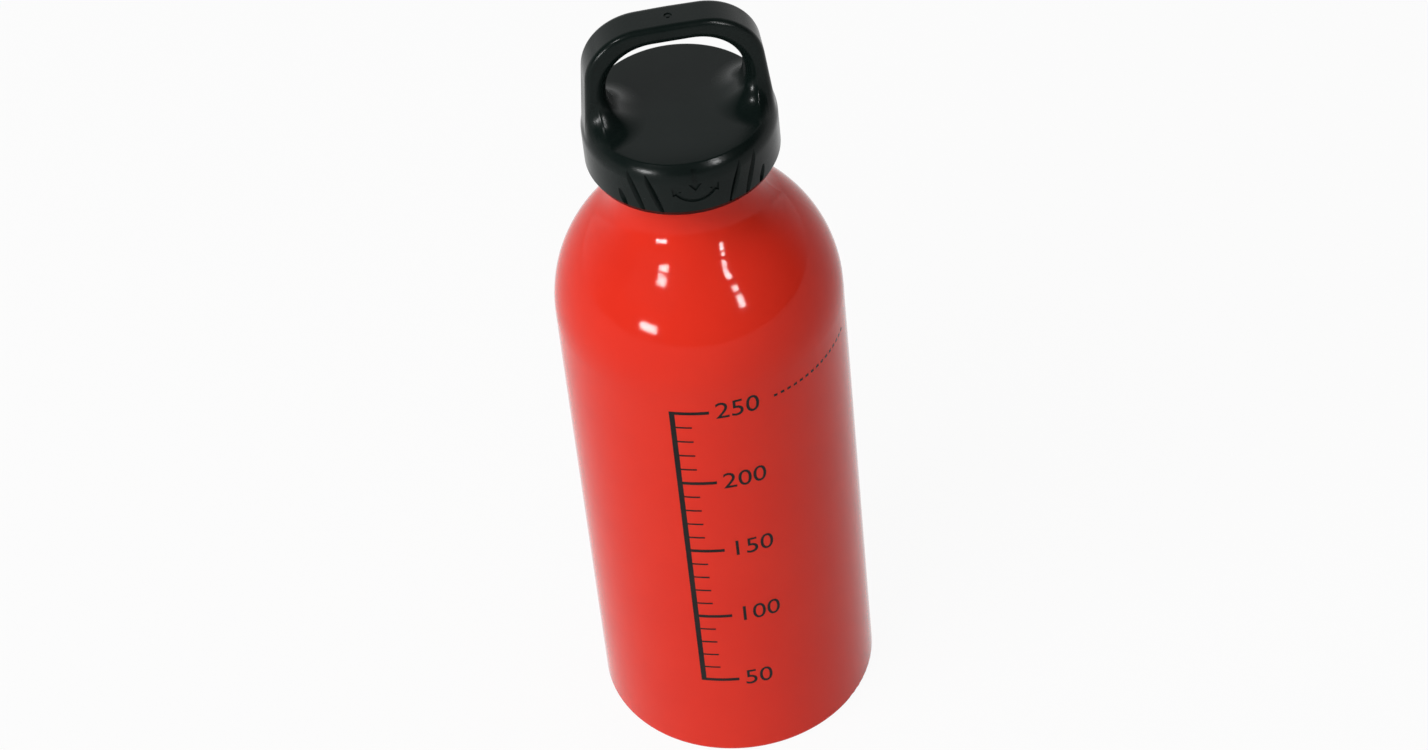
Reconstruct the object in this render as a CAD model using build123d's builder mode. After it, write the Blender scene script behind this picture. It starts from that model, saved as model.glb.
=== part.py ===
"""Camping fuel bottle with a push-and-turn screw cap and a moulded carrying loop.

Millimetres. +Z is up, the origin is the centre of the ring that the bottle stands on, the carrying
loop lies along X and the push-and-turn sign faces -Y.
"""
from build123d import *
import os
from math import acos, cos, degrees, radians, sin, sqrt

os.makedirs("parts", exist_ok=True)

# Shell of the bottle: one impact-extruded aluminium piece
body_radius = 29.0
base_corner_radius = 1.25
foot_ring_width = 4.6
base_dome_rise = 3.6
base_wall = 1.3
base_inner_corner_radius = 2.6
side_wall = 0.75
shoulder_start = 108.2
shoulder_radius = 30.6
throat_radius = 15.4
neck_radius = 13.3
neck_length = 7.6
neck_wall = 2.0
neck_root_angle = 28.0
lip_round = 0.7
mouth_chamfer = 0.8

# Thread between the neck and the plug
thread_pitch = 3.0
thread_height = 0.9
thread_root_width = 1.8
thread_crest_width = 0.9
thread_root_bite = 0.3
thread_runout = 2.0
neck_thread_depth = 11.4
neck_thread_turns = 3.0
neck_thread_margin = 0.6
plug_thread_turns = 4.0
thread_radial_clearance = 0.3

# Sealing ring on the mouth
seal_wire_radius = 1.0
seal_inset = 0.9
seal_gap = 0.04

# Plug that screws into the neck
flange_gap = 0.6
flange_thickness = 2.7
flange_edge_chamfer = 0.4
seal_groove_clearance = 0.2
collar_length = 1.4
collar_taper = 0.9
plug_length = 15.0
plug_end_chamfer = 0.8
plug_wall = 2.5
spring_pocket_depth = 7.6
plug_web = 2.4
vent_slot_width = 2.6
vent_slot_bite = 0.7

# Lugs that lock the cap to the plug when the cap is pushed down
lug_count = 12
lug_pocket_gap = 2.0
lug_edge_gap = 1.7
lug_angle = 11.0
plug_lug_height = 1.2
cap_lug_height = 1.5
lug_gap = 0.3
lug_edge_chamfer = 0.2

# Return spring
spring_wire_radius = 0.45
spring_radius = 5.3
spring_turns = 5.0
spring_seat_gap = 0.05
spring_side_clearance = 0.85

# Outer cap: skirt, top plate and the snap bead that holds the plug in it
skirt_drop = 4.2
skirt_reach = 5.8
skirt_bottom_inset = 0.5
skirt_flare_height = 1.6
skirt_edge_chamfer = 0.5
skirt_wall = 2.8
skirt_bulge_height = 3.9
rim_inset = 1.5
rim_round = 0.4
top_plate = 1.9
flange_side_clearance = 0.4
bead_reach = 1.4
bead_land = 0.6
bead_slope_height = 1.4
bead_gap = 0.2
boss_clearance = 0.55
boss_length = 3.2
boss_chamfer = 0.5

# Carrying loop, moulded in one with the cap
loop_height = 22.05
loop_depth = 7.2
loop_foot_inset = 0.35
loop_lean = 2.35
loop_crown = 0.3
loop_corner_radius = 11.6
loop_crown_radius = 60.0
loop_foot_wall = 5.35
window_corner_radius = 9.6
window_top_wall = 4.2
loop_edge_round = 1.2
window_edge_round = 2.2
loop_root_depth = 3.6
loop_root_round = 7.0
gate_radius = 0.8
gate_depth = 0.25
gate_pip_radius = 0.35
gate_pip_height = 0.2

# Slanted grip grooves beside the plain panels of the skirt
groove_count = 3
groove_height_shares = (0.0, 0.35, 1.0)
groove_widths = (0.8, 1.3, 0.5)
groove_depths = (0.45, 0.85, 0.3)
groove_top_angle = 29.5
groove_bottom_angle = 20.5
groove_angle_step = 11.5
groove_bottom_gap = 1.5
groove_length = 9.4
short_groove_length = 3.6

# Push-and-turn sign engraved in the front of the skirt
sign_depth = 0.35
sign_stroke = 0.85
push_arrow_drop = 0.9
push_arrow_length = 4.9
push_head_width = 2.5
push_head_length = 1.7
turn_arc_radius = 4.4
turn_arc_half_angle = 54.0
turn_arc_rise = 4.3
turn_head_width = 2.1
turn_head_length = 1.7

overrun = 1.0

# Heights worked out from the sizes above
shoulder_inset = body_radius - neck_radius
shoulder_curves = shoulder_radius + throat_radius
neck_start = shoulder_start + sqrt(shoulder_inset * (2 * shoulder_curves - shoulder_inset))
mouth_height = neck_start + neck_length
neck_thread_start = mouth_height - neck_thread_depth
flange_bottom = mouth_height + flange_gap
flange_top = flange_bottom + flange_thickness
plug_bottom = flange_bottom - plug_length
pocket_floor = flange_top - spring_pocket_depth
plate_underside = flange_top + plug_lug_height + lug_gap + cap_lug_height
cap_top = plate_underside + top_plate
loop_top = cap_top + loop_height
skirt_bottom = mouth_height - skirt_drop
skirt_bulge_start = cap_top - skirt_bulge_height

# Radii and widths worked out from the sizes above
bore_radius = neck_radius - neck_wall
plug_core_radius = bore_radius - thread_height - thread_radial_clearance
plug_hollow_radius = plug_core_radius - plug_wall
seal_radius = bore_radius + seal_inset
skirt_radius = neck_radius + skirt_reach
cavity_radius = skirt_radius - skirt_wall
flange_radius = cavity_radius - flange_side_clearance
rim_radius = skirt_radius - rim_inset
spring_pocket_radius = spring_radius + spring_wire_radius + spring_side_clearance
boss_radius = spring_radius - spring_wire_radius - boss_clearance
lug_inner_radius = spring_pocket_radius + lug_pocket_gap
lug_outer_radius = flange_radius - lug_edge_gap
loop_foot_half_width = skirt_radius - loop_foot_inset
loop_top_half_width = loop_foot_half_width - loop_lean
window_half_width = loop_foot_half_width - loop_foot_wall


def around(centre, radius, angle):
    """The point at this distance and angle from a centre, in the plane of a sketch."""
    return (centre[0] + radius * cos(radians(angle)), centre[1] + radius * sin(radians(angle)))


def thread_ridge(root_radius, outward, start, turns):
    """A helical ridge that stands out of, or into, a round wall, with its ends run out."""
    side = 1 if outward else -1
    path = Helix(pitch=thread_pitch, height=thread_pitch * turns, radius=root_radius,
                 center=(0, 0, start))
    section_plane = Plane(origin=path @ 0, x_dir=(side, 0, 0), z_dir=path % 0)
    outline = [
        (-thread_root_bite, -thread_root_width / 2),
        (0, -thread_root_width / 2),
        (thread_height, -thread_crest_width / 2),
        (thread_height, thread_crest_width / 2),
        (0, thread_root_width / 2),
        (-thread_root_bite, thread_root_width / 2),
    ]
    with BuildPart() as ridge:
        with BuildSketch(section_plane):
            with BuildLine():
                Polyline(*outline, close=True)
            make_face()
        sweep(path=path, is_frenet=True)
    low = start
    high = start + thread_pitch * turns
    root = root_radius - side * (thread_root_bite + overrun)
    crest = root_radius + side * (thread_height + overrun)
    with BuildPart() as envelope:
        with BuildSketch(Plane.XZ):
            with BuildLine():
                Polyline((root, low), (root_radius, low), (crest, low + thread_runout),
                         (crest, high - thread_runout), (root_radius, high), (root, high), close=True)
            make_face()
        revolve(axis=Axis.Z)
    return ridge.part & envelope.part


# Shell
foot_outer = body_radius - base_corner_radius
foot_inner = foot_outer - foot_ring_width
bulge_centre = (body_radius - shoulder_radius, shoulder_start)
hollow_centre = (neck_radius + throat_radius, neck_start)
inner_bulge = shoulder_radius - side_wall
inner_hollow = throat_radius + side_wall
shoulder_slope = degrees(acos(1 - shoulder_inset / shoulder_curves))
bore_bottom = neck_thread_start - thread_root_width / 2 - neck_thread_margin
inner_side = body_radius - side_wall
floor_corner = (inner_side - base_inner_corner_radius, base_wall + base_inner_corner_radius)
half_turn = 180.0
quarter_turn = 90.0

neck_thread = thread_ridge(bore_radius, False, neck_thread_start, neck_thread_turns)

with BuildPart() as bottle_shell:
    with BuildSketch(Plane.XZ):
        with BuildLine():
            TangentArc((0, base_dome_rise), (foot_inner, 0), tangent=(1, 0))
            Line((foot_inner, 0), (foot_outer, 0))
            CenterArc((foot_outer, base_corner_radius), base_corner_radius, -quarter_turn, quarter_turn)
            Line((body_radius, base_corner_radius), (body_radius, shoulder_start))
            CenterArc(bulge_centre, shoulder_radius, 0, shoulder_slope)
            CenterArc(hollow_centre, throat_radius, half_turn + shoulder_slope, -shoulder_slope)
            Line((neck_radius, neck_start), (neck_radius, mouth_height - lip_round))
            CenterArc((neck_radius - lip_round, mouth_height - lip_round), lip_round, 0, quarter_turn)
            Line((neck_radius - lip_round, mouth_height), (bore_radius + mouth_chamfer, mouth_height))
            Line((bore_radius + mouth_chamfer, mouth_height), (bore_radius, mouth_height - mouth_chamfer))
            Line((bore_radius, mouth_height - mouth_chamfer), (bore_radius, bore_bottom))
            Line((bore_radius, bore_bottom), around(hollow_centre, -inner_hollow, neck_root_angle))
            CenterArc(hollow_centre, inner_hollow, half_turn + neck_root_angle,
                      shoulder_slope - neck_root_angle)
            CenterArc(bulge_centre, inner_bulge, shoulder_slope, -shoulder_slope)
            Line((inner_side, shoulder_start), (inner_side, floor_corner[1]))
            CenterArc(floor_corner, base_inner_corner_radius, 0, -quarter_turn)
            Line((floor_corner[0], base_wall), (foot_inner, base_wall))
            TangentArc((0, base_dome_rise + base_wall), (foot_inner, base_wall), tangent=(1, 0))
            Line((0, base_dome_rise + base_wall), (0, base_dome_rise))
        make_face()
    revolve(axis=Axis.Z)
    add(neck_thread)

bottle_shell.part.label = "bottle_shell"
export_step(bottle_shell.part, "parts/bottle_shell.step")

# Sealing ring
seal_centre = mouth_height + seal_gap + seal_wire_radius

with BuildPart() as o_ring:
    with BuildSketch(Plane.XZ):
        with Locations((seal_radius, seal_centre)):
            Circle(seal_wire_radius)
    revolve(axis=Axis.Z)

o_ring.part.label = "o_ring"
export_step(o_ring.part, "parts/o_ring.step")

# Plug
groove_inner = seal_radius - seal_wire_radius - seal_groove_clearance
groove_outer = seal_radius + seal_wire_radius + seal_groove_clearance
groove_ceiling = seal_centre + seal_wire_radius + seal_gap
collar_bottom = flange_bottom - collar_length
web_bottom = pocket_floor - plug_web
plug_thread_start = neck_thread_start - thread_pitch / 2

plug_thread = thread_ridge(plug_core_radius, True, plug_thread_start, plug_thread_turns)
centre = (0, 0)

with BuildSketch() as one_lug:
    with BuildLine():
        CenterArc(centre, lug_outer_radius, -lug_angle / 2, lug_angle)
        CenterArc(centre, lug_inner_radius, -lug_angle / 2, lug_angle)
        for end_angle in (-lug_angle / 2, lug_angle / 2):
            Line(around(centre, lug_inner_radius, end_angle), around(centre, lug_outer_radius, end_angle))
    make_face()

with BuildPart() as threaded_plug:
    with BuildSketch(Plane.XZ):
        with BuildLine():
            Polyline(
                (spring_pocket_radius, flange_top),
                (flange_radius - flange_edge_chamfer, flange_top),
                (flange_radius, flange_top - flange_edge_chamfer),
                (flange_radius, flange_bottom + flange_edge_chamfer),
                (flange_radius - flange_edge_chamfer, flange_bottom),
                (groove_outer, flange_bottom),
                (groove_outer, groove_ceiling),
                (groove_inner, groove_ceiling),
                (groove_inner, collar_bottom),
                (plug_core_radius, collar_bottom - collar_taper),
                (plug_core_radius, plug_bottom + plug_end_chamfer),
                (plug_core_radius - plug_end_chamfer, plug_bottom),
                (plug_hollow_radius, plug_bottom),
                (plug_hollow_radius, web_bottom),
                (0, web_bottom),
                (0, pocket_floor),
                (spring_pocket_radius, pocket_floor),
                close=True,
            )
        make_face()
    revolve(axis=Axis.Z)
    add(plug_thread)
    with BuildSketch(Plane.XY.offset(flange_top)):
        with PolarLocations(0, lug_count):
            add(one_lug.sketch)
    extrude(amount=plug_lug_height)
    lug_tops = faces().filter_by_position(Axis.Z, flange_top + plug_lug_height,
                                          flange_top + plug_lug_height)
    chamfer(lug_tops.edges(), lug_edge_chamfer)
    with BuildSketch(Plane.XY.offset(plug_bottom)):
        with Locations((0, -plug_core_radius)):
            Rectangle(vent_slot_width, 2 * vent_slot_bite)
        with Locations((0, -plug_core_radius - thread_height)):
            Rectangle(vent_slot_width, 2 * thread_height)
    extrude(amount=collar_bottom - plug_bottom, mode=Mode.SUBTRACT)

threaded_plug.part.label = "threaded_plug"
export_step(threaded_plug.part, "parts/threaded_plug.step")

# Return spring
spring_low = pocket_floor + spring_seat_gap + spring_wire_radius
spring_high = plate_underside - spring_seat_gap - spring_wire_radius
spring_pitch = (spring_high - spring_low) / spring_turns
spring_path = Helix(pitch=spring_pitch, height=spring_high - spring_low, radius=spring_radius,
                    center=(0, 0, spring_low))

with BuildPart() as return_spring:
    with BuildSketch(Plane(origin=spring_path @ 0, z_dir=spring_path % 0)):
        Circle(spring_wire_radius)
    sweep(path=spring_path, is_frenet=True)

return_spring.part.label = "return_spring"
export_step(return_spring.part, "parts/return_spring.step")

# Carrying loop
loop_foot = cap_top - loop_root_depth
window_top = loop_top - loop_crown - window_top_wall

with BuildPart() as carry_loop:
    with BuildSketch(Plane.XZ):
        with BuildLine():
            FilletPolyline(
                (-loop_foot_half_width, loop_foot),
                (-loop_top_half_width, loop_top - loop_crown),
                (0, loop_top),
                (loop_top_half_width, loop_top - loop_crown),
                (loop_foot_half_width, loop_foot),
                radius=[loop_corner_radius, loop_crown_radius, loop_corner_radius],
            )
            Line((-loop_foot_half_width, loop_foot), (loop_foot_half_width, loop_foot))
        make_face()
    extrude(amount=loop_depth / 2, both=True)
    outer_edges = faces().filter_by(Axis.Y).edges()
    fillet(outer_edges.filter_by(lambda edge: edge.center().Z > loop_foot + overrun / 2), loop_edge_round)
    with BuildSketch(Plane.XZ):
        with BuildLine():
            FilletPolyline(
                (-window_half_width, loop_foot),
                (-window_half_width, window_top),
                (window_half_width, window_top),
                (window_half_width, loop_foot),
                radius=window_corner_radius,
            )
            Line((-window_half_width, loop_foot), (window_half_width, loop_foot))
        make_face()
    extrude(amount=loop_depth / 2, both=True, mode=Mode.SUBTRACT)
    window_edges = edges(Select.LAST).filter_by(lambda edge: edge.center().Z > loop_foot + overrun / 2)
    fillet(window_edges.filter_by(lambda edge: abs(edge.center().Y) > loop_depth / 4), window_edge_round)


def grip_groove(panel_angle, side, number):
    """One slanted V-shaped groove beside a panel, widest in its lower half."""
    length = short_groove_length if number == groove_count - 1 else groove_length
    lean = (groove_top_angle - groove_bottom_angle) * length / groove_length
    with BuildPart() as groove:
        for share, width, depth in zip(groove_height_shares, groove_widths, groove_depths):
            turn = panel_angle + side * (groove_bottom_angle + number * groove_angle_step + lean * share)
            mouth_half_angle = degrees(width / 2 / skirt_radius) * (depth + overrun) / depth
            with BuildSketch(Plane.XY.offset(skirt_bottom + groove_bottom_gap + length * share)):
                with BuildLine():
                    Polyline(
                        around(centre, skirt_radius + overrun, turn - mouth_half_angle),
                        around(centre, skirt_radius - depth, turn),
                        around(centre, skirt_radius + overrun, turn + mouth_half_angle),
                        close=True,
                    )
                make_face()
        loft()
    return groove.part


# Push-and-turn sign
sign_plane = Plane(origin=(0, -skirt_radius - overrun, 0), x_dir=(1, 0, 0), z_dir=(0, -1, 0))
arc_centre = (0, skirt_bottom + turn_arc_rise + turn_arc_radius)
push_arrow_top = cap_top - push_arrow_drop
arrow_tip = push_arrow_top - push_arrow_length
turn_arc_outer = turn_arc_radius + sign_stroke / 2
turn_arc_inner = turn_arc_radius - sign_stroke / 2
sign_floor_radius = skirt_radius - sign_depth

with BuildPart() as push_turn_sign:
    with BuildSketch(sign_plane):
        with Locations((0, (push_arrow_top + arrow_tip + push_head_length) / 2)):
            Rectangle(sign_stroke, push_arrow_length - push_head_length)
        with BuildLine():
            Polyline((-push_head_width / 2, arrow_tip + push_head_length), (0, arrow_tip),
                     (push_head_width / 2, arrow_tip + push_head_length), close=True)
        make_face()
        with BuildLine():
            for radius in (turn_arc_outer, turn_arc_inner):
                CenterArc(arc_centre, radius, -quarter_turn - turn_arc_half_angle, 2 * turn_arc_half_angle)
            for side in (-1, 1):
                end_angle = -quarter_turn + side * turn_arc_half_angle
                Line(around(arc_centre, turn_arc_inner, end_angle),
                     around(arc_centre, turn_arc_outer, end_angle))
        make_face()
        for side in (-1, 1):
            end_angle = -quarter_turn + side * turn_arc_half_angle
            arc_end = around(arc_centre, turn_arc_radius, end_angle)
            with BuildLine():
                Polyline(
                    around(arc_end, turn_head_width / 2, end_angle),
                    around(arc_end, turn_head_width / 2, end_angle + half_turn),
                    around(arc_end, turn_head_length, end_angle + side * quarter_turn),
                    close=True,
                )
            make_face()
    extrude(amount=-skirt_radius)
    with BuildSketch(Plane.YZ):
        with BuildLine():
            Line((0, cap_top), (rim_radius - sign_depth, cap_top))
            TangentArc((sign_floor_radius, skirt_bulge_start), (rim_radius - sign_depth, cap_top), tangent=(0, 1))
            Polyline((sign_floor_radius, skirt_bulge_start), (sign_floor_radius, skirt_bottom),
                     (0, skirt_bottom), (0, cap_top))
        make_face()
    revolve(axis=Axis.Z, mode=Mode.SUBTRACT)

# Outer cap
bead_top = flange_bottom - bead_gap
bead_inner = cavity_radius - bead_reach
lug_half_step = half_turn / lug_count

with BuildPart() as outer_cap:
    with BuildSketch(Plane.YZ):
        with BuildLine():
            Line((0, cap_top), (rim_radius, cap_top))
            TangentArc((skirt_radius, skirt_bulge_start), (rim_radius, cap_top), tangent=(0, 1))
            Polyline(
                (skirt_radius, skirt_bulge_start),
                (skirt_radius, skirt_bottom + skirt_flare_height),
                (skirt_radius - skirt_bottom_inset, skirt_bottom + skirt_edge_chamfer),
                (skirt_radius - skirt_bottom_inset - skirt_edge_chamfer, skirt_bottom),
                (0, skirt_bottom),
                (0, cap_top),
            )
        make_face()
    revolve(axis=Axis.Z)
    fillet(edges().filter_by_position(Axis.Z, cap_top, cap_top), rim_round)
    add(carry_loop.part)
    loop_root = edges(Select.NEW).filter_by(lambda edge: edge.center().Z > loop_foot)
    fillet(loop_root, loop_root_round)
    for panel_angle in (-quarter_turn, quarter_turn):
        for side in (-1, 1):
            for number in range(groove_count):
                add(grip_groove(panel_angle, side, number), mode=Mode.SUBTRACT)
    add(push_turn_sign.part, mode=Mode.SUBTRACT)
    with Locations((0, 0, loop_top)):
        Cylinder(gate_radius, 2 * gate_depth, mode=Mode.SUBTRACT)
    with Locations((0, 0, loop_top - gate_depth)):
        Cylinder(gate_pip_radius, 2 * gate_pip_height)
    with BuildSketch(Plane.YZ):
        with BuildLine():
            Polyline(
                (0, skirt_bottom),
                (cavity_radius + skirt_edge_chamfer, skirt_bottom),
                (cavity_radius, skirt_bottom + skirt_edge_chamfer),
                (cavity_radius, bead_top - bead_land - bead_slope_height),
                (bead_inner, bead_top - bead_land),
                (bead_inner, bead_top),
                (cavity_radius, bead_top),
                (cavity_radius, plate_underside),
                (boss_radius, plate_underside),
                (boss_radius, plate_underside - boss_length + boss_chamfer),
                (boss_radius - boss_chamfer, plate_underside - boss_length),
                (0, plate_underside - boss_length),
                close=True,
            )
        make_face()
    revolve(axis=Axis.Z, mode=Mode.SUBTRACT)
    with BuildSketch(Plane.XY.offset(plate_underside)):
        with PolarLocations(0, lug_count, start_angle=lug_half_step):
            add(one_lug.sketch)
    extrude(amount=-cap_lug_height)
    cap_lug_tips = faces().filter_by(Axis.Z).filter_by(
        lambda face: abs(face.center().Z - plate_underside + cap_lug_height) < lug_edge_chamfer / 2)
    chamfer(cap_lug_tips.edges(), lug_edge_chamfer)

outer_cap.part.label = "outer_cap"
export_step(outer_cap.part, "parts/outer_cap.step")
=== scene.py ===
import bpy
from math import cos, radians, sin
from mathutils import Matrix, Vector


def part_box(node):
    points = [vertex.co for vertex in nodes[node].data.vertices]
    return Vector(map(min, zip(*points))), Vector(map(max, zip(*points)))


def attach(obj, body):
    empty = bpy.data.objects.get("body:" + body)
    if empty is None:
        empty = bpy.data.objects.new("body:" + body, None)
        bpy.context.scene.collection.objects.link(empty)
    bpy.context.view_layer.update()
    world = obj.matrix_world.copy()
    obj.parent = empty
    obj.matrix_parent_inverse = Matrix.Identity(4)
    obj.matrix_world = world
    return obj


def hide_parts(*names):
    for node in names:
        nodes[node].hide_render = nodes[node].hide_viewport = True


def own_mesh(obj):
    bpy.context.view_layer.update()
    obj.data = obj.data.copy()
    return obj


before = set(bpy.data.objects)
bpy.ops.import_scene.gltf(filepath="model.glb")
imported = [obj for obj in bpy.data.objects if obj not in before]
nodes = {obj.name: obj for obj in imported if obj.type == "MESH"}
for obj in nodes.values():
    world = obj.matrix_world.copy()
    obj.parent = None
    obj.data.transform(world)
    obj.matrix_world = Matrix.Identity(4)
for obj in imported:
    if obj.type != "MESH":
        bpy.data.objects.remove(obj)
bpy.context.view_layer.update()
scene = bpy.context.scene

# Sizes of the bottle, in metres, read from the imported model
shell_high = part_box("bottle_shell")[1]
body_radius = shell_high.x
mouth_height = shell_high.z


def deselect_all():
    """Nothing stays selected, so an operator acts on the new piece alone."""
    bpy.ops.object.select_all(action="DESELECT")


# Node helpers, used by every material

def new_material(name):
    """A material with a Principled shader, and its node tree."""
    material = bpy.data.materials.new(name)
    material.use_nodes = True
    tree = material.node_tree
    return material, tree, tree.nodes["Principled BSDF"]


def add_node(tree, kind, **settings):
    node = tree.nodes.new(kind)
    for key, value in settings.items():
        setattr(node, key, value)
    return node


def math_node(tree, operation, first, second=None, third=None, clamp=False):
    """One Math node. An input is a number or another node's output."""
    node = add_node(tree, "ShaderNodeMath", operation=operation, use_clamp=clamp)
    for socket, value in zip(node.inputs, (first, second, third)):
        if value is None:
            continue
        if isinstance(value, (int, float)):
            socket.default_value = value
        else:
            tree.links.new(value, socket)
    return node.outputs[0]


def smooth_band(tree, value, low, high, to_low=0.0, to_high=1.0):
    """A soft step from one value to another between two edges."""
    node = add_node(tree, "ShaderNodeMapRange", interpolation_type="SMOOTHSTEP")
    tree.links.new(value, node.inputs["Value"])
    node.inputs["From Min"].default_value = low
    node.inputs["From Max"].default_value = high
    node.inputs["To Min"].default_value = to_low
    node.inputs["To Max"].default_value = to_high
    return node.outputs["Result"]


def mix_colours(tree, factor, first, second):
    node = add_node(tree, "ShaderNodeMix", data_type="RGBA")
    for name, value in (("Factor", factor), ("A", first), ("B", second)):
        socket = next(s for s in node.inputs if s.name == name and (name == "Factor" or s.type == "RGBA"))
        if isinstance(value, (int, float)):
            socket.default_value = value
        elif isinstance(value, tuple):
            socket.default_value = (*value, 1.0)
        else:
            tree.links.new(value, socket)
    return next(s for s in node.outputs if s.type == "RGBA")


def noise(tree, vector, scale, detail=2.0, roughness=0.5):
    node = add_node(tree, "ShaderNodeTexNoise")
    node.inputs["Scale"].default_value = scale
    node.inputs["Detail"].default_value = detail
    node.inputs["Roughness"].default_value = roughness
    tree.links.new(vector, node.inputs["Vector"])
    return node.outputs["Fac"]


def object_place(tree):
    return add_node(tree, "ShaderNodeTexCoord").outputs["Object"]


def radius_and_height(tree, where):
    """The distance from the bottle's axis, and the height."""
    parts = add_node(tree, "ShaderNodeSeparateXYZ")
    tree.links.new(where, parts.inputs[0])
    x, y, z = parts.outputs
    squares = math_node(tree, "ADD", math_node(tree, "MULTIPLY", x, x), math_node(tree, "MULTIPLY", y, y))
    return math_node(tree, "POWER", squares, 0.5), z


# Shared effects: moulded grain and uneven gloss

def make_group(name, inputs, outputs):
    """An empty node group with named inputs and outputs."""
    group = bpy.data.node_groups.new(name, "ShaderNodeTree")
    for socket_name, kind, value in inputs:
        socket = group.interface.new_socket(socket_name, in_out="INPUT", socket_type=kind)
        if value is not None:
            socket.default_value = value
    for socket_name, kind in outputs:
        group.interface.new_socket(socket_name, in_out="OUTPUT", socket_type=kind)
    return group, add_node(group, "NodeGroupInput"), add_node(group, "NodeGroupOutput")


grain_group, group_in, group_out = make_group(
    "surface_grain",
    [("Vector", "NodeSocketVector", None), ("Scale", "NodeSocketFloat", 900.0), ("Waviness", "NodeSocketFloat", 0.3)],
    [("Height", "NodeSocketFloat")],
)
fine = add_node(grain_group, "ShaderNodeTexNoise")
fine.inputs["Detail"].default_value = 3.0
broad = add_node(grain_group, "ShaderNodeTexNoise")
broad.inputs["Detail"].default_value = 1.0
grain_group.links.new(group_in.outputs["Vector"], fine.inputs["Vector"])
grain_group.links.new(group_in.outputs["Vector"], broad.inputs["Vector"])
grain_group.links.new(group_in.outputs["Scale"], fine.inputs["Scale"])
grain_group.links.new(math_node(grain_group, "MULTIPLY", group_in.outputs["Scale"], 0.12), broad.inputs["Scale"])
grain_group.links.new(
    math_node(grain_group, "ADD", fine.outputs["Fac"],
              math_node(grain_group, "MULTIPLY", broad.outputs["Fac"], group_in.outputs["Waviness"])),
    group_out.inputs["Height"])

gloss_group, group_in, group_out = make_group(
    "uneven_gloss",
    [("Vector", "NodeSocketVector", None), ("Scale", "NodeSocketFloat", 60.0),
     ("Smooth", "NodeSocketFloat", 0.2), ("Rough", "NodeSocketFloat", 0.3)],
    [("Roughness", "NodeSocketFloat"), ("Patches", "NodeSocketFloat")],
)
patches = add_node(gloss_group, "ShaderNodeTexNoise")
patches.inputs["Detail"].default_value = 4.0
gloss_group.links.new(group_in.outputs["Vector"], patches.inputs["Vector"])
gloss_group.links.new(group_in.outputs["Scale"], patches.inputs["Scale"])
spread = smooth_band(gloss_group, patches.outputs["Fac"], 0.3, 0.7)
gloss_group.links.new(spread, group_out.inputs["Patches"])
step = math_node(gloss_group, "SUBTRACT", group_in.outputs["Rough"], group_in.outputs["Smooth"])
gloss_group.links.new(math_node(gloss_group, "MULTIPLY_ADD", spread, step, group_in.outputs["Smooth"]),
                      group_out.inputs["Roughness"])


def use_group(tree, group, vector, **values):
    node = add_node(tree, "ShaderNodeGroup", node_tree=group)
    tree.links.new(vector, node.inputs["Vector"])
    for key, value in values.items():
        node.inputs[key].default_value = value
    return node


def bump_from(tree, height, strength, distance):
    node = add_node(tree, "ShaderNodeBump")
    node.inputs["Strength"].default_value = strength
    node.inputs["Distance"].default_value = distance
    tree.links.new(height, node.inputs["Height"])
    return node.outputs["Normal"]


# Red lacquer outside, bare aluminium inside and on the mouth, with the standing ring scuffed.
# Each pair of heights is where a change begins and where it is complete.
wall_start = (0.0042, 0.0046)
floor_end = (0.02, 0.03)
mouth_start = (mouth_height - 0.0009, mouth_height - 0.0007)
scuff_end = (0.00002, 0.0002)
shell_finish, tree, shader = new_material("red_lacquer_on_aluminium")
where = object_place(tree)
across, z = radius_and_height(tree, where)
surface = add_node(tree, "ShaderNodeNewGeometry")
radial = add_node(tree, "ShaderNodeVectorMath", operation="MULTIPLY")
tree.links.new(where, radial.inputs[0])
radial.inputs[1].default_value = (1.0, 1.0, 0.0)
facing = add_node(tree, "ShaderNodeVectorMath", operation="DOT_PRODUCT")
tree.links.new(radial.outputs[0], facing.inputs[0])
tree.links.new(surface.outputs["Normal"], facing.inputs[1])
facing_out = math_node(tree, "DIVIDE", facing.outputs["Value"], math_node(tree, "MAXIMUM", across, 0.0001))
inside = smooth_band(tree, facing_out, -0.08, -0.04, 1.0, 0.0)
above_base = smooth_band(tree, z, *wall_start)
normal_parts = add_node(tree, "ShaderNodeSeparateXYZ")
tree.links.new(surface.outputs["Normal"], normal_parts.inputs[0])
facing_up = smooth_band(tree, normal_parts.outputs["Z"], 0.5, 0.6)
inner_floor = math_node(tree, "MULTIPLY", facing_up, smooth_band(tree, z, *floor_end, 1.0, 0.0))
mouth = smooth_band(tree, z, *mouth_start)
inner_wall = math_node(tree, "MULTIPLY", inside, above_base)
scuff = smooth_band(tree, noise(tree, where, 900.0, 4.0, 0.7), 0.50, 0.56)
foot_ring = math_node(tree, "MULTIPLY", smooth_band(tree, z, *scuff_end, 1.0, 0.0), scuff)
bare = math_node(tree, "MAXIMUM", math_node(tree, "MAXIMUM", inner_wall, inner_floor),
                 math_node(tree, "MAXIMUM", mouth, foot_ring))
spun = add_node(tree, "ShaderNodeCombineXYZ")
tree.links.new(across, spun.inputs["X"])
tree.links.new(z, spun.inputs["Y"])
lines = noise(tree, spun.outputs[0], 2600.0, 2.0, 0.6)
lacquer_gloss = use_group(tree, gloss_group, where, Scale=45.0, Smooth=0.06, Rough=0.09)
metal_roughness = smooth_band(tree, lines, 0.2, 0.8, 0.28, 0.46)
roughness = add_node(tree, "ShaderNodeMix", data_type="FLOAT")
tree.links.new(bare, roughness.inputs[0])
tree.links.new(lacquer_gloss.outputs["Roughness"], roughness.inputs[2])
tree.links.new(metal_roughness, roughness.inputs[3])
lacquer_colour = mix_colours(tree, lacquer_gloss.outputs["Patches"], (0.800, 0.034, 0.016), (0.780, 0.031, 0.015))
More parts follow.
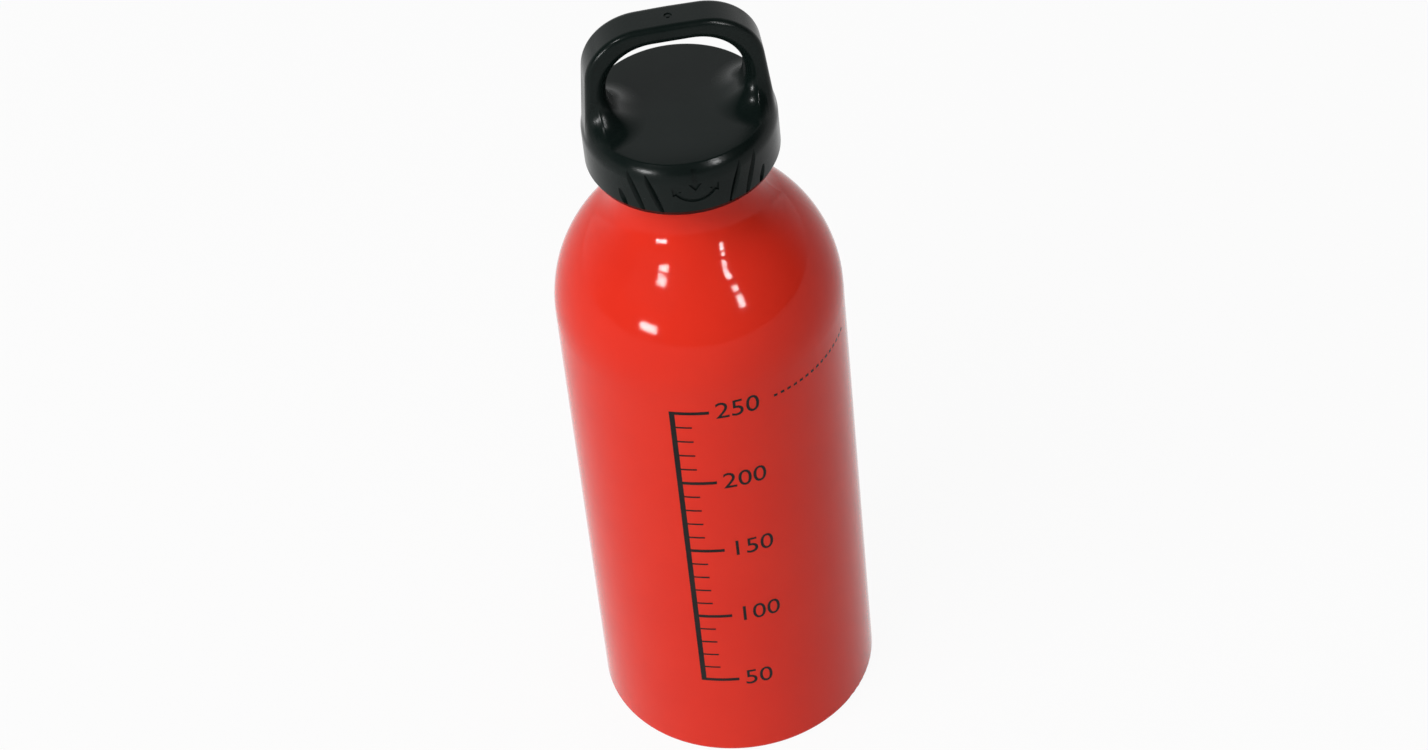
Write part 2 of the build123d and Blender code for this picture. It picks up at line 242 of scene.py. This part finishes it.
metal_colour = mix_colours(tree, lines, (0.62, 0.62, 0.61), (0.78, 0.78, 0.77))
tree.links.new(mix_colours(tree, bare, lacquer_colour, metal_colour), shader.inputs["Base Color"])
tree.links.new(bare, shader.inputs["Metallic"])
tree.links.new(roughness.outputs[0], shader.inputs["Roughness"])
orange_peel = use_group(tree, grain_group, where, Scale=420.0, Waviness=0.8)
tree.links.new(bump_from(tree, orange_peel.outputs["Height"], 0.05, 0.0002), shader.inputs["Normal"])
shader.inputs["IOR"].default_value = 1.5
shader.inputs["Specular IOR Level"].default_value = 0.10


def plain_finish(name, gloss, colours, grain, bump, ior=1.5, specular=0.5, metallic=0.0):
    """A finish of one substance. gloss is the patches' scale and the two roughnesses, colours the darker and
    the lighter one, grain the scale and waviness of the surface, bump its strength and height."""
    material, tree, shader = new_material(name)
    where = object_place(tree)
    patches = use_group(tree, gloss_group, where, Scale=gloss[0], Smooth=gloss[1], Rough=gloss[2])
    tree.links.new(patches.outputs["Roughness"], shader.inputs["Roughness"])
    tree.links.new(mix_colours(tree, patches.outputs["Patches"], *colours), shader.inputs["Base Color"])
    surface = use_group(tree, grain_group, where, Scale=grain[0], Waviness=grain[1])
    tree.links.new(bump_from(tree, surface.outputs["Height"], *bump), shader.inputs["Normal"])
    shader.inputs["IOR"].default_value = ior
    shader.inputs["Specular IOR Level"].default_value = specular
    shader.inputs["Metallic"].default_value = metallic
    return material


cap_finish = plain_finish("cap_black_plastic", (70.0, 0.19, 0.28), ((0.004, 0.008, 0.007), (0.007, 0.011, 0.010)),
                          (1500.0, 0.6), (0.06, 0.0002), specular=0.095)
plug_finish = plain_finish("plug_black_plastic", (90.0, 0.36, 0.5), ((0.022, 0.023, 0.022), (0.032, 0.033, 0.032)),
                           (1300.0, 0.5), (0.15, 0.0002), ior=1.48)
seal_finish = plain_finish("seal_rubber", (160.0, 0.42, 0.6), ((0.016, 0.016, 0.016), (0.028, 0.028, 0.027)),
                           (2200.0, 0.2), (0.1, 0.0001))
wire_finish = plain_finish("spring_steel_wire", (400.0, 0.22, 0.38), ((0.46, 0.46, 0.45), (0.60, 0.60, 0.59)),
                           (3000.0, 0.2), (0.1, 0.0001), metallic=1.0)
ink_finish = plain_finish("black_print", (120.0, 0.14, 0.22), ((0.010, 0.009, 0.009), (0.016, 0.014, 0.013)),
                          (1800.0, 0.3), (0.08, 0.0001), specular=0.10)

for name, finish in (("bottle_shell", shell_finish), ("outer_cap", cap_finish), ("threaded_plug", plug_finish),
                     ("o_ring", seal_finish), ("return_spring", wire_finish)):
    node = nodes[name]
    if node.material_slots:
        node.material_slots[0].material = finish
    else:
        node.data.materials.append(finish)

# Return spring, drawn again so that it can shorten as the outer cap is pressed down
spring_low, spring_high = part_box("return_spring")
wire_radius = 0.00045
wire_sides = 16
spring_turns = 5
steps_per_turn = 40
spring_length = spring_high.z - spring_low.z
deselect_all()
bpy.ops.mesh.primitive_circle_add(vertices=wire_sides, radius=wire_radius, rotation=(radians(90.0), 0.0, 0.0),
                                  location=(spring_high.x - wire_radius, 0.0, spring_low.z + wire_radius))
spring = bpy.context.object
spring.name = "return_spring_wire"
bpy.ops.object.transform_apply(location=True, rotation=True, scale=True)
wind = spring.modifiers.new("wind", "SCREW")
wind.axis = "Z"
wind.angle = radians(360.0 * spring_turns)
wind.screw_offset = spring_length - 2 * wire_radius
wind.steps = steps_per_turn * spring_turns
wind.render_steps = steps_per_turn * spring_turns
bpy.ops.object.modifier_apply(modifier=wind.name)
bpy.ops.object.mode_set(mode="EDIT")
bpy.ops.mesh.select_all(action="SELECT")
bpy.ops.mesh.fill_holes(sides=0)
bpy.ops.mesh.select_all(action="SELECT")
bpy.ops.mesh.normals_make_consistent(inside=False)
bpy.ops.object.mode_set(mode="OBJECT")
bpy.ops.object.shade_smooth()
spring.data.materials.append(wire_finish)
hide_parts("return_spring")
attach(spring, "spring")
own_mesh(spring)

# Fill gauge printed on the body. It is drawn flat, x along the arc and y up the bottle, then laid round the body
gauge_left = radians(-112.0)
marks = 5
millilitres_per_mark = 50
mark_step = 0.01994
first_mark = 0.0233
last_mark = first_mark + (marks - 1) * mark_step
spine_width = 0.0011
tick_length, tick_height = 0.0069, 0.0008
small_tick_length, small_tick_height = 0.0032, 0.0004
small_ticks = 5
number_left, number_size = 0.0091, 0.0062
dots = 15
first_dot, dot_gap = 0.0215, 0.0016
dot_width, dot_height = 0.0008, 0.0006
ink_thickness = 0.00003
ink_sunk = 0.00001
gauge_parts = []


def print_bar(left, bottom, width, height, cuts):
    """A flat bar of the print, cut fine enough to follow the body."""
    deselect_all()
    bpy.ops.mesh.primitive_plane_add(size=1.0)
    bpy.ops.object.mode_set(mode="EDIT")
    bpy.ops.mesh.select_all(action="SELECT")
    bpy.ops.transform.resize(value=(width, height, 1.0))
    bpy.ops.transform.translate(value=(left + width / 2, bottom + height / 2, 0.0))
    bpy.ops.mesh.subdivide(number_cuts=cuts)
    bpy.ops.object.mode_set(mode="OBJECT")
    gauge_parts.append(bpy.context.object)


def print_number(words, left, middle, size):
    """A plain number, turned to mesh and cut fine enough to follow the body."""
    deselect_all()
    bpy.ops.object.text_add()
    number = bpy.context.object
    number.data.body = words
    number.data.size = size
    number.data.align_y = "CENTER"
    number.data.resolution_u = 4
    bpy.ops.object.convert(target="MESH")
    number.location = (left, middle, 0.0)
    bpy.ops.object.transform_apply(location=True, rotation=True, scale=True)
    bpy.ops.object.mode_set(mode="EDIT")
    bpy.ops.mesh.select_all(action="SELECT")
    bpy.ops.mesh.quads_convert_to_tris()
    bpy.ops.mesh.subdivide(number_cuts=2)
    bpy.ops.object.mode_set(mode="OBJECT")
    gauge_parts.append(number)


print_bar(0.0, first_mark - tick_height / 2, spine_width, last_mark - first_mark + tick_height, 2)
for mark in range(marks):
    height = first_mark + mark * mark_step
    print_bar(spine_width, height - tick_height / 2, tick_length, tick_height, 6)
    print_number(str(millilitres_per_mark * (mark + 1)), number_left, height, number_size)
    if mark < marks - 1:
        for small in range(1, small_ticks):
            small_height = height + small * mark_step / small_ticks
            print_bar(spine_width, small_height - small_tick_height / 2, small_tick_length, small_tick_height, 3)
for dot in range(dots):
    print_bar(first_dot + dot * dot_gap, last_mark - dot_height / 2, dot_width, dot_height, 1)

deselect_all()
for piece in gauge_parts:
    piece.select_set(True)
gauge = gauge_parts[0]
bpy.context.view_layer.objects.active = gauge
bpy.ops.object.join()
gauge.name = "printed_fill_gauge"
thicken = gauge.modifiers.new("ink", "SOLIDIFY")
thicken.thickness = ink_thickness
thicken.offset = 1.0
bpy.ops.object.modifier_apply(modifier=thicken.name)
for vertex in gauge.data.vertices:
    along, up, out = vertex.co
    turn = gauge_left + along / body_radius
    reach = body_radius - ink_sunk + out
    vertex.co = (reach * cos(turn), reach * sin(turn), up)
gauge.data.materials.clear()
gauge.data.materials.append(ink_finish)
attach(gauge, "bottle")

# Pale floor: white to the camera and in reflections, with the bottle's own shadow kept
floor_side = 8.0
white_share = 0.94
floor_finish, tree, shader = new_material("pale_floor")
shader.inputs["Base Color"].default_value = (0.68, 0.68, 0.68, 1.0)
shader.inputs["Roughness"].default_value = 0.8
rays = add_node(tree, "ShaderNodeLightPath")
seen = math_node(tree, "MAXIMUM", rays.outputs["Is Camera Ray"],
                 math_node(tree, "MAXIMUM", rays.outputs["Is Glossy Ray"], rays.outputs["Is Transmission Ray"]))
white = add_node(tree, "ShaderNodeEmission")
white.inputs["Color"].default_value = (1.0, 1.0, 1.0, 1.0)
blend = add_node(tree, "ShaderNodeMixShader")
tree.links.new(math_node(tree, "MULTIPLY", seen, white_share), blend.inputs[0])
tree.links.new(shader.outputs[0], blend.inputs[1])
tree.links.new(white.outputs[0], blend.inputs[2])
tree.links.new(blend.outputs[0], tree.nodes["Material Output"].inputs["Surface"])
deselect_all()
bpy.ops.mesh.primitive_plane_add(size=floor_side, location=(0.0, 0.0, 0.0))
floor = bpy.context.object
floor.name = "studio_floor"
floor.data.materials.append(floor_finish)

# World: white to the camera, a bright far side and a dim room in reflections, soft fill elsewhere
dim_room, bright_far_side = 0.05, 1.5
fill = 0.30
world = bpy.data.worlds.new("studio")
scene.world = world
world.use_nodes = True
tree = world.node_tree
background = tree.nodes["Background"]
rays = add_node(tree, "ShaderNodeLightPath")
direction = add_node(tree, "ShaderNodeSeparateXYZ")
tree.links.new(add_node(tree, "ShaderNodeTexCoord").outputs["Generated"], direction.inputs[0])
toward_back = math_node(tree, "MULTIPLY_ADD", direction.outputs["Y"], 0.9,
                        math_node(tree, "MULTIPLY", direction.outputs["Z"], -0.25))
room = smooth_band(tree, toward_back, -0.2, 0.65, dim_room, bright_far_side)
strength = add_node(tree, "ShaderNodeMix", data_type="FLOAT")
tree.links.new(rays.outputs["Is Glossy Ray"], strength.inputs[0])
strength.inputs[2].default_value = fill
tree.links.new(room, strength.inputs[3])
to_camera = math_node(tree, "MAXIMUM", rays.outputs["Is Camera Ray"], rays.outputs["Is Transmission Ray"])
final = add_node(tree, "ShaderNodeMix", data_type="FLOAT")
tree.links.new(to_camera, final.inputs[0])
tree.links.new(strength.outputs[0], final.inputs[2])
final.inputs[3].default_value = 1.0
tree.links.new(final.outputs[0], background.inputs["Strength"])
background.inputs["Color"].default_value = (1.0, 1.0, 1.0, 1.0)


lamp_aim = Vector((0.0, 0.0, 0.12))
pane_distance = 1.6
key_distance = 1.5
key_side = 1.2


def lamp(name, azimuth, elevation, distance, width, height, power):
    """A flat lamp that shines on the bottle's shoulder from this direction."""
    data = bpy.data.lights.new(name, "AREA")
    data.shape = "RECTANGLE"
    data.size = width
    data.size_y = height
    data.energy = power
    thing = bpy.data.objects.new(name, data)
    scene.collection.objects.link(thing)
    a, e = radians(azimuth), radians(elevation)
    toward = Vector((cos(a) * cos(e), sin(a) * cos(e), sin(e)))
    thing.location = lamp_aim + toward * distance
    thing.rotation_mode = "QUATERNION"
    thing.rotation_quaternion = toward.to_track_quat("Z", "Y")
    return thing


# The small panes show in the lacquer and don't light it, and the soft key lights it and doesn't show in it
for name, azimuth, elevation, width, height, power in (
        ("right_pane_low", -59.5, 23.0, 0.13, 0.28, 11.0), ("right_pane_middle", -59.5, 33.5, 0.12, 0.12, 4.4),
        ("right_pane_high", -59.0, 45.0, 0.11, 0.16, 5.3), ("left_pane_low", -137.0, 8.0, 0.38, 0.16, 18.0),
        ("left_pane_high", -136.0, 43.0, 0.20, 0.16, 9.6)):
    lamp(name, azimuth, elevation, pane_distance, width, height, power).visible_diffuse = False
soft_key = lamp("soft_key", -142.0, 42.0, key_distance, key_side, key_side, 18.5)
soft_key.visible_glossy = False

# Camera, fitted to the photograph's outlines. Its distance and aim are in body radii.
sensor_width = 36.0
image_width = 1428.0
focal_pixels = 4173.7
camera_elevation = 0.78167
camera_roll = -0.11195
camera_distance = 29.4037
aim_point = Vector((0.03834, 0.0, 2.91601))
camera_turn = radians(4.8)
toward_camera = Vector((0.0, -cos(camera_elevation), sin(camera_elevation)))
side = Vector((1.0, 0.0, 0.0))
upward = side.cross(-toward_camera)
rolled_side = cos(camera_roll) * side + sin(camera_roll) * upward
rolled_up = -sin(camera_roll) * side + cos(camera_roll) * upward
eye = (aim_point + toward_camera * camera_distance) * body_radius
camera_data = bpy.data.cameras.new("photo_camera")
camera_data.sensor_width = sensor_width
camera_data.lens = focal_pixels / image_width * sensor_width
camera = bpy.data.objects.new("photo_camera", camera_data)
scene.collection.objects.link(camera)
camera.matrix_world = Matrix.Rotation(-camera_turn, 4, "Z") @ Matrix((
    (rolled_side.x, rolled_up.x, toward_camera.x, eye.x),
    (rolled_side.y, rolled_up.y, toward_camera.y, eye.y),
    (rolled_side.z, rolled_up.z, toward_camera.z, eye.z),
    (0.0, 0.0, 0.0, 1.0)))
scene.camera = camera
scene.view_settings.view_transform = "Standard"
